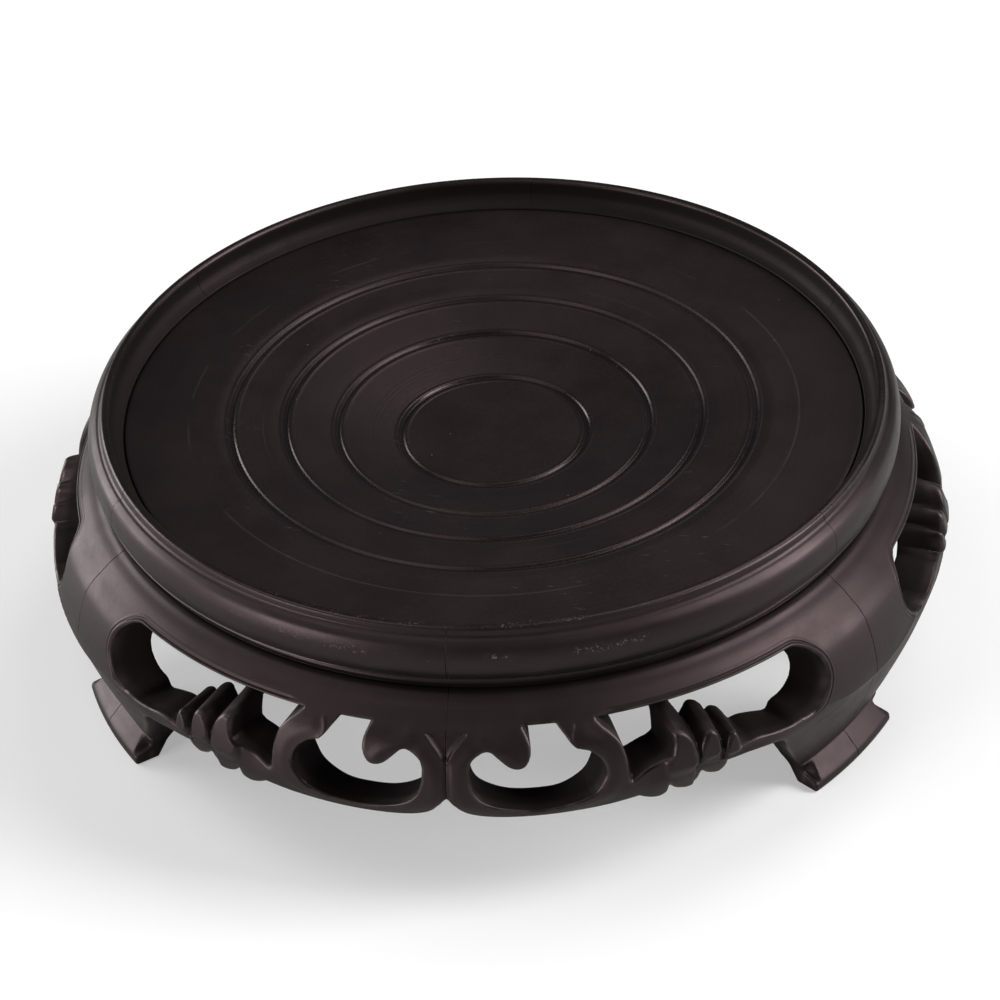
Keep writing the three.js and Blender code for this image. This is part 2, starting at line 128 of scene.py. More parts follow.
def meet(a, b, radius):
    """Corner of two distances, rounded: where both faces are nearer than the radius the
    corner is the circle of that radius, elsewhere it is the larger of the two."""
    u, v = np.maximum(a + radius, 0), np.maximum(b + radius, 0)
    return np.minimum(np.maximum(a, b), -radius) + np.hypot(u, v)


# %% [markdown]
# ## From a distance to a surface
#
# A piece is described by one function: negative in the wood, positive in the air, zero
# on the surface. The function is read on a grid. Each cell that the surface passes
# through gets one point, the mean of the places where it crosses the cell's edges, and
# each crossed grid edge joins the four points round it into a face. The points are then
# moved onto the surface: the distance to go is the value divided by its slope.

# %% Surface of a distance
def crossed_cells(value):
    """Points and four-sided faces where the value changes its sign on a grid. The points
    are counted in grid cells."""
    inside = value < 0
    n = np.array(value.shape)
    corners = [np.array(c) for c in np.ndindex(2, 2, 2)]
    count = np.zeros(n - 1, np.int8)
    for i, j, k in corners:
        count += inside[i : n[0] - 1 + i, j : n[1] - 1 + j, k : n[2] - 1 + k]
    cells = np.argwhere((count > 0) & (count < 8))
    number = np.full(n - 1, -1)
    number[tuple(cells.T)] = np.arange(len(cells))
    place = np.zeros((len(cells), 3))
    hits = np.zeros(len(cells))
    axes = np.eye(3, dtype=int)
    for a in corners:
        for axis in axes[a[np.arange(3)] == 0]:
            fa = value[tuple((cells + a).T)]
            fb = value[tuple((cells + a + axis).T)]
            cut = (fa < 0) != (fb < 0)
            t = np.where(cut, fa / np.where(cut, fa - fb, 1), 0)
            place += np.where(cut[:, None], a + t[:, None] * axis, 0)
            hits += cut
    points = cells + place / hits[:, None]
    faces = []
    for k in range(3):
        along, u, v = axes[k], axes[(k + 1) % 3], axes[(k + 2) % 3]
        end = n - along
        first = inside[: end[0], : end[1], : end[2]]
        second = inside[along[0] :, along[1] :, along[2] :]
        edges = np.argwhere(first != second)
        ring = [number[tuple((edges - d).T)] for d in (u + v, v, 0 * u, u)]
        quad = np.stack(ring, 1)
        outward = first[tuple(edges.T)]
        quad[~outward] = quad[~outward][:, ::-1]
        faces.append(quad)
    return points, np.concatenate(faces)


def slope(distance, points):
    """Change of the distance along the three axes, from small steps to both sides. The
    first axis is an arc drawn at the carving radius, and here becomes true length."""
    reach = 0.05
    out = np.empty_like(points)
    for k, axis in enumerate(np.eye(3)):
        ahead = distance(points + reach * axis)
        behind = distance(points - reach * axis)
        out[:, k] = (ahead - behind) / (2 * reach)
    out[:, 0] /= points[:, 2] / CARVING
    return out


def settle(distance, points, reach, rounds=4):
    """Moves the points onto the surface, each time by the value over the slope."""
    for _ in range(rounds):
        grad = slope(distance, points)
        size = np.maximum((grad**2).sum(1), 0.05)
        move = -distance(points)[:, None] * grad / size[:, None]
        length = np.linalg.norm(move, axis=1, keepdims=True)
        move *= np.minimum(1, reach / np.maximum(length, 1e-9))
        move[:, 0] /= points[:, 2] / CARVING
        points = points + move
    return points


def read(table, low, step, u, v):
    """Value of a fine table at any place, in proportion between its four neighbours."""
    a = np.clip((u - low[0]) / step, 0, table.shape[0] - 1.001)
    b = np.clip((v - low[1]) / step, 0, table.shape[1] - 1.001)
    i, j = a.astype(int), b.astype(int)
    a, b = a - i, b - j
    near = table[i, j] * (1 - b) + table[i, j + 1] * b
    far = table[i + 1, j] * (1 - b) + table[i + 1, j + 1] * b
    return near * (1 - a) + far * a


# %% [markdown]
# ## From arrays to a Blender object
#
# Every piece becomes one mesh object at the origin. Its UV map holds real lengths along
# and across the piece, for whoever paints on it later. The normals of the carved pieces
# come from the drawn surface itself, which keeps a carved face smooth.

# %% Making an object
made = {}


def piece(name, points, faces, material, uv, normals, stands_for, carried={}):
    """Mesh object from points in millimetres and a list of faces. What it carries is a
    dictionary of names with one value for each point."""
    mesh = bpy.data.meshes.new(name)
    mesh.from_pydata((points * MM).tolist(), [], [list(map(int, f)) for f in faces])
    mesh.validate()
    layer = mesh.uv_layers.new(name="along")
    corner = np.empty(len(mesh.loops), np.int32)
    mesh.loops.foreach_get("vertex_index", corner)
    layer.data.foreach_set("uv", (uv[corner] * MM).ravel().astype(np.float32))
    for key, values in carried.items():
        layer = mesh.attributes.new(key, "FLOAT", "POINT")
        layer.data.foreach_set("value", values.astype(np.float32))
    mesh.polygons.foreach_set("use_smooth", np.ones(len(mesh.polygons), bool))
    if normals is not None:
        mesh.normals_split_custom_set_from_vertices(normals.tolist())
    mesh.update()
    thing = bpy.data.objects.new(name, mesh)
    bpy.context.scene.collection.objects.link(thing)
    mesh.materials.append(material)
    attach(thing, "root")
    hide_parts(*stands_for)
    made[name] = len(mesh.polygons)
    return thing


def about_axis(points, turn, mirror=False):
    """Points turned about Z by an angle, after a mirror in X if one is asked for."""
    x, y = points[:, 0] * (-1 if mirror else 1), points[:, 1]
    c, s = math.cos(turn), math.sin(turn)
    return np.stack([x * c - y * s, x * s + y * c, points[:, 2]], 1)


# %% [markdown]
# ## The finish
#
# The wood is stained and lacquered a brown so dark that it reads as black. What the eye
# sees of it is nearly all reflection, so the colour varies little and the gloss varies
# more: rubbed edges shine, chips and dust are pale. The walls of the openings, the inner
# face and the lip's inner wall get painted shade: a darker colour, more roughness and less
# shine. Pale lines of painted highlight run along the carved edges and the roll's lower
# edge. The noise works on the colour a little, on the roughness and on a shallow relief of
# pores. The rings of the turning tool and the double line round the long window are so
# fine that they belong to the finish too.

# %% Materials
def node(tree, kind, **inputs):
    """One shader node, with values or links given by the names of its inputs."""
    made_node = tree.nodes.new(kind)
    for key, value in inputs.items():
        socket = made_node.inputs[key.replace("_", " ")]
        if isinstance(value, bpy.types.NodeSocket):
            tree.links.new(value, socket)
        else:
            socket.default_value = value
    return made_node


def noise(tree, vector, scale, detail=4.0, rough=0.55):
    """Noise from 0 to 1 at so many features to a metre."""
    inputs = {"Vector": vector, "Scale": scale, "Detail": detail, "Roughness": rough}
    return node(tree, "ShaderNodeTexNoise", **inputs).outputs["Fac"]


def ramp(tree, value, low, high, start=0.0, end=1.0):
    """Value from low to high mapped to start to end, and held outside."""
    made_node = tree.nodes.new("ShaderNodeMapRange")
    made_node.interpolation_type = "SMOOTHSTEP"
    tree.links.new(value, made_node.inputs["Value"])
    for key, v in (("From Min", low), ("From Max", high), ("To Min", start), ("To Max", end)):
        made_node.inputs[key].default_value = v
    return made_node.outputs["Result"]


def combine(tree, kind, a, b):
    """Arithmetic on two values."""
    made_node = tree.nodes.new("ShaderNodeMath")
    made_node.operation = kind
    for socket, value in zip(made_node.inputs, (a, b)):
        if isinstance(value, bpy.types.NodeSocket):
            tree.links.new(value, socket)
        else:
            socket.default_value = value
    return made_node.outputs["Value"]


def blend(tree, factor, a, b):
    """Colour between two colours."""
    made_node = tree.nodes.new("ShaderNodeMix")
    made_node.data_type = "RGBA"
    tree.links.new(factor, made_node.inputs["Factor"])
    for key, value in (("A", a), ("B", b)):
        socket = next(s for s in made_node.inputs if s.name == key and s.type == "RGBA")
        if isinstance(value, bpy.types.NodeSocket):
            tree.links.new(value, socket)
        else:
            socket.default_value = (*value, 1)
    return next(s for s in made_node.outputs if s.type == "RGBA")


def new_material(name):
    """Empty node material with a principled shader, and the object's own coordinates."""
    material = bpy.data.materials.new(name)
    material.use_nodes = True
    tree = material.node_tree
    tree.nodes.clear()
    shader = tree.nodes.new("ShaderNodeBsdfPrincipled")
    out = tree.nodes.new("ShaderNodeOutputMaterial")
    tree.links.new(shader.outputs["BSDF"], out.inputs["Surface"])
    place = tree.nodes.new("ShaderNodeTexCoord").outputs["Object"]
    return material, tree, shader, place


def line_at(tree, value, centre, width):
    """One where the value is at the centre, falling to zero a width away from it."""
    away = combine(tree, "ABSOLUTE", combine(tree, "SUBTRACT", value, centre), 0.0)
    return ramp(tree, away, 0.0, width, 1.0, 0.0)


def product(tree, *values):
    """All the values multiplied together."""
    result = values[0]
    for value in values[1:]:
        result = combine(tree, "MULTIPLY", result, value)
    return result


def total(tree, *terms):
    """Sum of pairs of a weight and a value."""
    result = 0.0
    for weight, value in terms:
        result = combine(tree, "ADD", result, combine(tree, "MULTIPLY", value, weight))
    return result


def specks(tree, vector, scale, size, share):
    """Dots of a size in parts of a cell, in a share of the cells of a random pattern."""
    cells = node(tree, "ShaderNodeTexVoronoi", Vector=vector, Scale=scale)
    chance = node(tree, "ShaderNodeSeparateColor", Color=cells.outputs["Color"]).outputs["Red"]
    dot = ramp(tree, cells.outputs["Distance"], size * 0.5, size, 1.0, 0.0)
    return product(tree, dot, ramp(tree, chance, 1 - share, 1.001 - share))


def carried_value(tree, name):
    """Value that the mesh carries under a name."""
    made_node = tree.nodes.new("ShaderNodeAttribute")
    made_node.attribute_name = name
    return made_node.outputs["Fac"]


# The first colour is the pale one of wear and of painted highlights; the second is the dark one of
# painted shade in hollows and cut walls.
WORN_AND_HIGHLIT, PAINTED_SHADE = (0.14, 0.122, 0.115), (0.006, 0.0045, 0.0045)  # colours
WARM, SHINE = (1.0, 0.72, 0.74, 1.0), 0.4  # tint and strength of what the lacquer reflects


def lacquer(name, dark, light, gloss, dull, wear_and_highlight, inside, relief_lines, polish):
    """Dark lacquer. Worn places and painted highlights are paler and matt, hollows darkened with
    painted shade are duller, and edges that hands and cloths rub are glossier."""
    material, tree, shader, place = new_material(name)
    fine = noise(tree, place, 900.0, 3.0, 0.6)
    colour = blend(tree, ramp(tree, noise(tree, place, 22.0, 3.0), 0.35, 0.7), dark, light)
    rough = ramp(tree, noise(tree, place, 60.0, 5.0), 0.3, 0.7, gloss, dull)
    rough = total(tree, (1.0, rough), (0.06, ramp(tree, fine, 0.3, 0.8)))
    # The wear function gives partly wear and partly painted highlight; both turn the colour pale.
    worn_and_highlit = wear_and_highlight(tree, place)
    colour = blend(tree, worn_and_highlit, colour, WORN_AND_HIGHLIT)
    rough = total(tree, (1.0, rough), (0.25, worn_and_highlit), (-0.22, polish(tree, place)))
    shader.inputs["Specular IOR Level"].default_value = SHINE
    # The mask given as inside paints shade: a darker colour, more roughness and half the shine.
    if inside:
        hollow = inside(tree, place)
        colour = blend(tree, hollow, colour, PAINTED_SHADE)
        rough = total(tree, (1.0, rough), (0.2, hollow))
        shine = ramp(tree, hollow, 0.0, 1.0, SHINE, SHINE / 2)
        tree.links.new(shine, shader.inputs["Specular IOR Level"])
    tree.links.new(colour, shader.inputs["Base Color"])
    tree.links.new(rough, shader.inputs["Roughness"])
    pores = node(tree, "ShaderNodeBump", Height=fine, Strength=0.06, Distance=0.4 * MM)
    height, under = relief_lines(tree, place), pores.outputs["Normal"]
    lines = node(tree, "ShaderNodeBump", Height=height, Distance=0.3 * MM, Normal=under)
    tree.links.new(lines.outputs["Normal"], shader.inputs["Normal"])
    shader.inputs["Specular Tint"].default_value = WARM
    return material


def in_mm(tree, place):
    """The three coordinates of a place, in millimetres."""
    xyz = node(tree, "ShaderNodeSeparateXYZ", Vector=place)
    return [combine(tree, "MULTIPLY", xyz.outputs[k], 1 / MM) for k in "XYZ"]


def from_axis(tree, place):
    """Distance from the axis in millimetres, the root of x2 + y2."""
    x, y, _ = in_mm(tree, place)
    square = combine(tree, "ADD", product(tree, x, x), product(tree, y, y))
    return combine(tree, "SQRT", square, 0.0)


def arrises(tree, place):
    """One on the edges between the face and the openings, and zero 1.1 mm away."""
    return carried_value(tree, "arris")


def stave_wear_and_highlight(tree, place):
    """A few dots of dust, and the carved edges paler in patches: rubbed wear and a painted highlight.
    """
    dots = specks(tree, place, 180.0, 0.05, 0.12)
    dots = product(tree, dots, ramp(tree, noise(tree, place, 30.0), 0.45, 0.6))
    # Pale patches along the carved edges: rubbed wear and a painted highlight.
    rubbed = product(tree, arrises(tree, place), ramp(tree, noise(tree, place, 160.0), 0.38, 0.6))
    return total(tree, (0.6, dots), (0.3, rubbed))


ROLL_EDGE, LIP_TOP = 66.4, 81.6


def rim_wear_and_highlight(tree, place):
    """Dust, chips on the roll and the lip in front, and a painted highlight: a thin pale line
    along the roll's lower edge on one side."""
    x, y, z = in_mm(tree, place)
    chips = ramp(tree, noise(tree, place, 1300.0, 4.0, 0.7), 0.54, 0.64)
    patches = ramp(tree, noise(tree, place, 90.0, 2.0), 0.47, 0.58)
    in_front = ramp(tree, y, -88.0, -112.0)
    crown = product(tree, chips, patches, line_at(tree, z, 74.6, 1.8), in_front)
    rubbed = product(tree, chips, patches, ramp(tree, z, 81.2, 81.6), in_front)
    dots = specks(tree, place, 230.0, 0.06, 0.1)
    # A painted highlight: a thin pale line along the roll's lower edge, on the side toward -X.
    painted_highlight_line = product(tree, line_at(tree, z, ROLL_EDGE, 0.4), ramp(tree, x, -20.0, -60.0))
    return total(tree, (0.9, crown), (0.5, rubbed), (0.6, dots), (0.8, painted_highlight_line))


def tray_wear(tree, place):
    """Dust, two broken rings where pots stood, and short marks that run one way."""
    r = from_axis(tree, place)
    broken = ramp(tree, noise(tree, place, 45.0, 4.0), 0.42, 0.6)
    pot = product(tree, line_at(tree, r, 88.0, 0.45), broken)
    patches = ramp(tree, noise(tree, place, 18.0, 2.0), 0.52, 0.62)
    second = product(tree, line_at(tree, r, 66.5, 0.3), patches)
    drawn_out = node(tree, "ShaderNodeMapping", Vector=place, Rotation=(0, 0, 0.5), Scale=(1, 5, 1))
    marks = ramp(tree, noise(tree, drawn_out.outputs["Vector"], 190.0, 5.0, 0.65), 0.61, 0.7)
    marks = product(tree, marks, ramp(tree, noise(tree, place, 28.0, 1.0), 0.55, 0.66))
    dots = specks(tree, place, 240.0, 0.07, 0.12)
    return total(tree, (0.12, pot), (0.07, second), (0.24, marks), (0.6, dots))


def turning(tree, place):
    """Fine rings left by the turning tool."""
    rings = node(tree, "ShaderNodeCombineXYZ", X=from_axis(tree, place))
    return product(tree, noise(tree, rings.outputs["Vector"], 0.8, 3.0), 0.16)


def rubbed_rings(tree, place):
    """The edges of the turned rings of the tray, more in some places than in others."""
    r = from_axis(tree, place)
    rings = total(tree, *[(1.0, line_at(tree, r, radius, 2.8)) for radius, _ in RINGS])
    patches = ramp(tree, noise(tree, place, 14.0, 1.0), 0.4, 0.6, 0.35, 1.0)
    return product(tree, rings, patches)


def rubbed_edges(tree, place):
    """The lower edge of the roll and the top of the lip."""
    z = in_mm(tree, place)[2]
    return total(tree, (1.0, line_at(tree, z, ROLL_EDGE, 1.0)), (0.6, line_at(tree, z, LIP_TOP, 0.6)))


def painted_shade_on_lip_wall(tree, place):
    """Painted shade on the inner wall of the lip and the hollow at its foot."""
    r, z = from_axis(tree, place), in_mm(tree, place)[2]
    return product(tree, ramp(tree, r, 111.2, 110.3), ramp(tree, z, 81.4, 80.0))


def painted_shade_in_cuts(tree, place):
    """Painted shade: zero on the outer face and one on the walls of the openings and the inner face.
    """
    return ramp(tree, carried_value(tree, "depth"), 0.9, 5.0)


def window_bead(tree, place):
    """Fine double line along the edge of the long window."""
    edge = carried_value(tree, "edge")
    bands = ((0.6, 0.55, 0.5), (-0.7, 1.1, 0.45), (0.35, 1.65, 0.55))
    lines = total(tree, *[(height, line_at(tree, edge, at, width)) for height, at, width in bands])
    return product(tree, lines, carried_value(tree, "bead"))


stave_lacquer = lacquer(
    "stave_lacquer", (0.0075, 0.0055, 0.005), (0.0105, 0.0075, 0.007), 0.38, 0.48,
    stave_wear_and_highlight, painted_shade_in_cuts, window_bead, arrises,
)
rim_lacquer = lacquer(
    "rim_lacquer", (0.0065, 0.005, 0.0045), (0.0095, 0.007, 0.0065), 0.34, 0.44,
    rim_wear_and_highlight, painted_shade_on_lip_wall, turning, rubbed_edges,
)
tray_lacquer = lacquer(
    "tray_lacquer", (0.0055, 0.0035, 0.0042), (0.0078, 0.005, 0.0058), 0.36, 0.46,
    tray_wear, None, turning, rubbed_rings,
)

bare_wood, wood_tree, wood_shader, wood_place = new_material("bare_wood")
stretch = node(wood_tree, "ShaderNodeMapping", Vector=wood_place, Scale=(1, 1, 0.1))
wood_grain = noise(wood_tree, stretch.outputs["Vector"], 700.0, 5.0)
wood_grain = ramp(wood_tree, wood_grain, 0.3, 0.7)
wood_colour = blend(wood_tree, wood_grain, (0.19, 0.10, 0.05), (0.36, 0.22, 0.12))
wood_tree.links.new(wood_colour, wood_shader.inputs["Base Color"])
wood_shader.inputs["Roughness"].default_value = 0.7
print("materials:", sorted(m.name for m in bpy.data.materials))

# %% [markdown]
# ## The staves: one section all the way round
#
# All six staves have one section, the line of the bulging shoulder that curves down to a
# belly and in to the ankle, and out again over the toe. A cooper would plane it along
# each blank with a curved sole. The inner face is hollowed to an upright wall, which
# leaves the apron about twelve millimetres thick at the belly. The section is drawn here
# once, as radius against height, and its signed distance is kept in a fine table.

# %% Section of the stave
INNER_FACE = 118.0
SEAT = 61.5
SEAM, TIGHT = 0.04, 0.006  # gap of a joint at the surface and deeper down
WALL_ROUND, SEAM_ROUND, RIM_SEAM_ROUND = 0.75, 0.12, 0.03  # rounding of cut edges
FINE, RIM_FINE = 0.12, 0.06  # steps of the fine tables

outer_line = curve([
    (113.6, SEAT), (114.7, 61.1), (116, 60.2), (118.4, 58.8), (121.4, 56.4), (124.6, 53.6),
    (126.9, 50.4), (129, 44.6), (130.2, 39.4), (130.55, 36.4), (130.35, 34.2),
    (129.4, 31), (127, 24), (124, 16.8), (121.8, 11.9), (120.6, 9.5), (120, 8.5),
], 110)


def outer_radius(z):
    """Radius of the outer face at a height, read from the drawn line."""
    return np.interp(z, outer_line[::-1, 1], outer_line[::-1, 0])


toe = curve(
    [(120.2, 7.9), (121.4, 6.7), (122.7, 5.2), (123.9, 4), (124.7, 2.9), (125, 1.6), (124.9, 0.5)],
    30,
)


def toe_radius(z):
    """Radius of the toe at a height, read from its drawn line."""
    return np.interp(z, toe[::-1, 1], toe[::-1, 0])


def ankle_radius(z):
    """Radius of the leg's face behind the toe, where the toe stops short of the leg's side."""
    return np.interp(z, [3, 4.2, 6.5, 8.5], [118.9, 119.3, 119.8, 120.5])


inner_line = curve([
    (117.5, 0), (114.4, 4.5), (111.9, 9), (114.9, 16.5), (117.5, 24), (118, 30), (118, 38),
    (117.5, 44), (115.8, 49), (112, 51.5), (105, 52.8), (103.6, 54), (103.5, 56), (103.5, SEAT),
], 90)
stave_section = np.concatenate([outer_line, toe, [(124.4, 0)], inner_line])

section_low = (99.0, -3.0)
section_r = np.arange(section_low[0], 137, FINE)
section_z = np.arange(section_low[1], 66, FINE)
section_table = signed_distance(*np.meshgrid(section_r, section_z, indexing="ij"), stave_section)
print("stave section:", len(stave_section), "points, table", section_table.shape)

# %% [markdown]
# ## The pierced apron
#
# Half a panel is drawn as if unrolled: degrees from the middle of the panel along, and
# millimetres up. Two openings are sawn right through: the scroll window with its hanging
# knob, and the long window that ends in a round by the leg. The carver then slopes the
# walls of the openings, so each is drawn twice, as it is on the outer face and as it is
# on the inner one. The leaves stand higher and wider inside. The other half of the panel
# is the mirror image.

# %% Openings of half a panel
DEG = math.radians(1) * CARVING


def laid(points, count=None):
    """Outline from degrees and heights to millimetres on the carving cylinder."""
    p = np.asarray(points, float)
    p = curve(p, count) if count else p
    return np.stack([p[:, 0] * DEG, p[:, 1]], 1)


def round_end(angle, z, radius):
    """Half circle that ends the long window, from its top round to its foot."""
    turn = np.linspace(math.pi / 2, -math.pi / 2, 25)
    return np.stack([angle * DEG + radius * np.cos(turn), z + radius * np.sin(turn)], 1)


curl = laid([(13.75, 55.3), (14.7, 52.8), (15.5, 50.6), (16.2, 49.4), (17.4, 48.6)], 16)
knob = laid([
    (2.9, 45.9), (3.25, 48.2), (4.4, 50), (5.4, 50.3), (6.5, 48.3), (7.5, 46.4),
    (8.6, 45.5), (9.6, 46.1), (10.25, 48.3), (10.4, 51), (10.1, 53.4), (9.62, 55.3),
], 40)
bowl_front = [
    (17.4, 48.6), (18.75, 46), (19.3, 42.8), (19.05, 39.8), (17.3, 35.3), (14, 32.7),
    (10.6, 31.9), (7.5, 33), (5.2, 34.9), (3.7, 37.7), (3, 41.8), (2.9, 45.9),
]
bowl_back = [
    (17.4, 48.6), (18.4, 46), (18.7, 42.8), (18.4, 40), (17.2, 35.2), (14.2, 31.3),
    (10.8, 30.7), (7.6, 31.1), (5, 33), (3.2, 35.9), (2.5, 40.5), (2.7, 45.9),
]
scroll_windows = [np.concatenate([curl, laid(bowl, 44), knob]) for bowl in (bowl_front, bowl_back)]

long_front = np.concatenate(
    [
        round_end(47.1, 46.0, 9.4),
        laid([(46.1, 36.9), (44.6, 36.7), (42, 37.3), (39.6, 38.3), (37.8, 38.2), (36.6, 37.8)], 12),
        laid([
            (36.4, 37.9), (36.46, 39.3), (36.42, 41.2), (36.1, 43.4), (35.6, 43.9), (35, 42.6),
            (34.4, 40),
        ], 16),
        laid([
            (34.1, 39.7), (33.85, 43.3), (33.6, 45.3), (33, 46.4), (32.3, 46.1), (31.7, 44.7),
            (31, 42),
        ], 16),
        laid([
            (30.8, 41.2), (30.6, 44.1), (30.1, 46.5), (29.4, 48.3), (28.7, 48.8), (28, 48.4),
            (27.9, 45.5), (27.6, 43),
        ], 18),
        laid([
            (27.2, 42.2), (26.2, 41), (24.5, 39.3), (23.2, 38), (22.2, 37.5), (22.05, 41), (21.95, 45),
            (21.4, 49.5), (20.5, 52.1), (19.6, 53.8), (18.9, 55.3),
        ], 36),
    ]
)
long_back = np.concatenate(
    [
        round_end(45.6, 46.4, 8.6),
        laid([(44.9, 37), (44.3, 35.2), (42.2, 36.8), (40, 38.3), (39, 38.5), (38.3, 38.4)], 12),
        laid([
            (38.2, 38.5), (37.8, 39.8), (37.15, 42.2), (36.4, 44.1), (35.6, 44.9), (35.1, 44.8),
            (34.75, 44.3),
        ], 16),
        laid([
            (34.65, 44.3), (34.3, 46), (34, 46.8), (33.3, 48), (32.3, 48.3), (31.6, 47.2),
            (31, 45.9),
        ], 16),
        laid([
            (30.9, 45.9), (30.3, 48.1), (29.6, 50), (28.9, 51.4), (28.2, 51.9), (27.5, 51.3),
            (27.1, 48.6), (26.9, 45),
        ], 18),
        laid([
            (26.8, 43.6), (26, 42.6), (24.9, 42), (23.9, 41.2), (22.6, 40.4), (22.1, 43), (21.95, 46),
            (21.4, 49.8), (20.5, 52.3), (19.6, 53.9), (18.9, 55.3),
        ], 36),
    ]
)

LEG_SIDE = 51.04  # angle of the leg's lower end from the middle of the panel
leaf_ends = [
    [(23.2, 31.1), (24.5, 29.2), (25.9, 28.4), (26.9, 29.7), (27.1, 32)],
    [(27.2, 32), (28.1, 30.2), (29.6, 29), (30.9, 30.2), (31.35, 33.6)],
    [(31.6, 33.4), (32.4, 31.6), (33.9, 30.3), (34.8, 32), (35.1, 34.8)],
]
underside = np.concatenate(
    [
        laid([
            (-4, 36.2), (-0.2, 36.2), (0.8, 34.8), (1.7, 32.5), (2.8, 30.9), (5.1, 29.7),
            (10, 29.3), (18.3, 29.8), (23.2, 31.1),
        ], 40),
        *[laid(end, 12) for end in leaf_ends],
        laid([(35.2, 35), (37.4, 34.8), (39.3, 34.3), (41.6, 33.5)], 8),
        laid([
            (42.4, 32.9), (43.2, 32), (43.8, 30.4), (44.4, 27), (45.8, 22), (47.9, 15.5),
            (49.8, 10.3), (50.75, 6.8), (LEG_SIDE, 4.4),
        ], 30),
        laid([(LEG_SIDE, 2), (LEG_SIDE, -8), (-4, -8)]),
    ]
)

drawing_low = (-6.0, -3.0)
drawing_s = np.arange(drawing_low[0], 141, FINE)
drawing_z = np.arange(drawing_low[1], 66, FINE)
S, Z = np.meshgrid(drawing_s, drawing_z, indexing="ij")
under_table = signed_distance(S, Z, underside)
scroll_front, scroll_back = (signed_distance(S, Z, w) for w in scroll_windows)
long_edge, long_inside = signed_distance(S, Z, long_front), signed_distance(S, Z, long_back)
front_table = np.minimum(np.minimum(scroll_front, long_edge), under_table)
back_table = np.minimum(np.minimum(scroll_back, long_inside), under_table)
print("drawing table", front_table.shape, "open share", round(float((front_table < 0).mean()), 3))

# %% [markdown]
# ## The carved relief
#
# After piercing, the carver lowers the ground and rounds what stays. The relief is a
# height over the same drawing. The knuckles of three leaves stand out where they fold
# over the rail, and the two right-hand leaf ends lie behind its lower line. The scroll
# is a softly ridged band, the corner between two scrolls is sunk, a shallow band runs round
# the long window, and two creases carry the line of the rail across the leg. The heights
# are averaged over a third of a millimetre, as sanding would do.

# %% Relief of half a panel
def pillow(distance, width):
    """Quarter round: zero at the edge of the shape and one at the width inside it."""
    t = np.clip(-distance / width, 0, 1)
    return np.sqrt(1 - (1 - t) ** 2)


def crest(distance, width):
    """Ridge with a sharp top: exp(-d / width), with d rounded off below 0.15 mm."""
    return np.exp(-np.hypot(distance, 0.15) / width)


def stroke(points, count, width):
    """Soft line on the drawing: exp(-(d / width)2), with d the distance to the line."""
    return np.exp(-((line_distance(S, Z, laid(points, count)) / width) ** 2))


def averaged(table, reach):
    """Mean over the cells within the reach, along one axis and then along the other."""
    for axis in (0, 1):
        shifted = [np.roll(table, k, axis) for k in range(-reach, reach + 1)]
        table = np.mean(shifted, axis=0)
    return table


knuckles = [
    (
        [
            (26.5, 41), (27.7, 45), (28, 48.4), (28.7, 49.4), (29.5, 48.9), (30.4, 46.5), (30.9, 43),
            (30.9, 39), (30.2, 35.6), (28, 34), (26.6, 36.6), (26.5, 41),
        ],
        (34.6, 39.6),
    ),
    (
        [
            (31, 42), (31.6, 44.7), (32.2, 46.5), (33, 47), (33.8, 45.5), (34.05, 42), (33.8, 38.5),
            (32.6, 36.4), (31.2, 37.4), (31, 42),
        ],
        (36.6, 40.4),
    ),
    (
        [
            (34.3, 40), (34.9, 42.6), (35.6, 44.4), (36.3, 43.6), (36.7, 41), (36.7, 38), (35.8, 35.8),
            (34.5, 36.2), (34.3, 40),
        ],
        (35.8, 39.2),
    ),
]
relief = np.zeros_like(S)
for outline, (low, high) in knuckles:
    leaf = signed_distance(S, Z, laid(outline, 60))
    relief = np.maximum(relief, 1.35 * pillow(leaf, 2.6) * ease(Z, low, high))

for line in ([(31.0, 42.5), (30.9, 38.6), (30.3, 36.6)], [(34.3, 40.4), (34.1, 38), (33.6, 36.2)]):
    relief -= 0.55 * stroke(line, 12, 0.5)

lower_line = laid([
    (30.3, 37.1), (31.6, 37), (32.9, 36.4), (34.3, 35.6), (35.7, 35.3), (37.1, 35.2),
    (39.3, 34.6), (44, 32.6),
], 30)
below = signed_distance(S, Z, np.concatenate([lower_line, laid([(44, 26), (30.3, 26)])]))
fading = ease(S, 43.5 * DEG, 38 * DEG)
relief -= 0.85 * ease(-below, -0.15, 0.5) * fading
relief += 0.3 * np.exp(-(((below - 0.75) / 0.6) ** 2)) * ease(S, 31 * DEG, 34 * DEG) * fading

relief -= 0.5 * stroke([(27.15, 33), (27.3, 31), (27.2, 29)], 8, 0.6)
scoop = ((S / DEG - 24.6) / 1.7) ** 2 + ((Z - 38.5) / 4.5) ** 2
relief -= 0.9 * np.exp(-scoop)

ridge = [
    (17.2, 52.6), (18.9, 50), (20.2, 47), (20.7, 43), (20.4, 38.5), (18.9, 34.9), (15.5, 32),
    (11, 30.7), (6.5, 31.3), (3.2, 33.6), (1.7, 37.5), (1.5, 42), (1.95, 46.5), (3, 49.6),
]
relief += 0.32 * stroke(ridge, 70, 1.9)
relief += 0.35 * stroke([(15.8, 54.6), (15.5, 53.5), (15.4, 51.6), (16, 50)], 14, 0.5)

spandrel_edge = laid([(0.25, 47.6), (0.55, 49.2), (1.1, 50.9), (1.7, 52.3), (2.5, 54)], 14)
spandrel = np.concatenate([spandrel_edge, laid([(2.5, 54.4), (-4, 54.4), (-4, 47.6)])])
relief -= 1.25 * pillow(signed_distance(S, Z, spandrel), 1.5)
relief -= 0.9 * np.exp(-((S / 1.0) ** 2)) * ease(Z, 49, 46.5)

